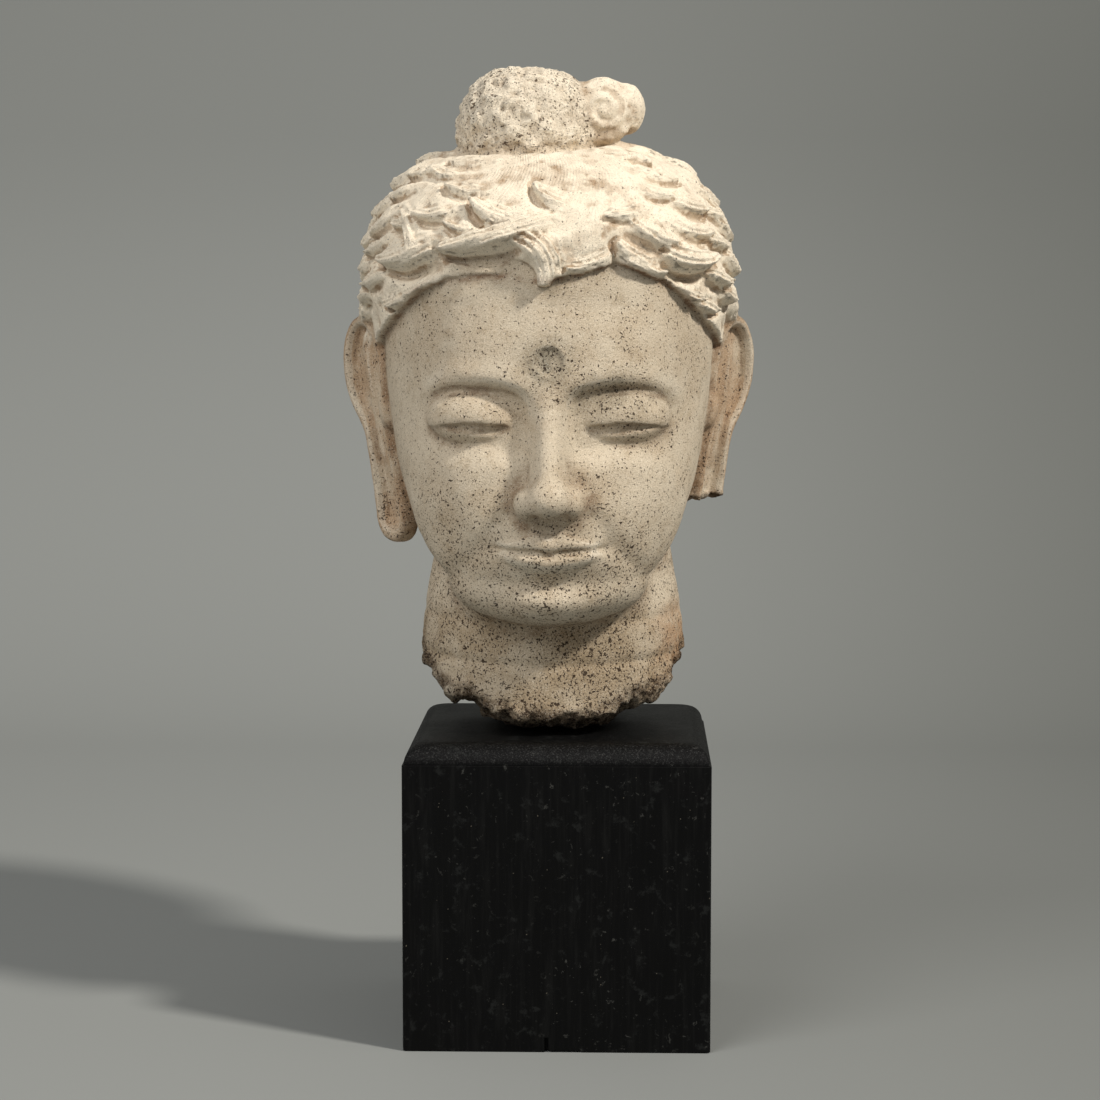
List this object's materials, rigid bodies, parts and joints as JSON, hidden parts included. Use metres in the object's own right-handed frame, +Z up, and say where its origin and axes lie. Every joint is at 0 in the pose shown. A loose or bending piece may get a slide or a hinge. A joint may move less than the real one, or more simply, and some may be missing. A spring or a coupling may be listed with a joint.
{
  "type": "stucco buddha head on a plinth",
  "caption": "Stucco head with wavy hair, a high bun and long ears, broken off at the neck and standing on a black block.",
  "frame": {"origin": "middle of the plinth's underside, where the part stands", "axes": "+Z up, the face and the plinth's front look along -Y, +X is to the viewer's right"},
  "size_m": [0.1948, 0.2154, 0.4545],
  "materials": {
    "stucco": "matt pale stucco, pitted, with grey and brown dirt in the hollows",
    "black_paint": "satin black paint on wood, a little worn and dusty"
  },
  "bodies": {
    "root": {"stucco_head": "stucco", "plinth_block": "black_paint"}
  },
  "joints": []
}
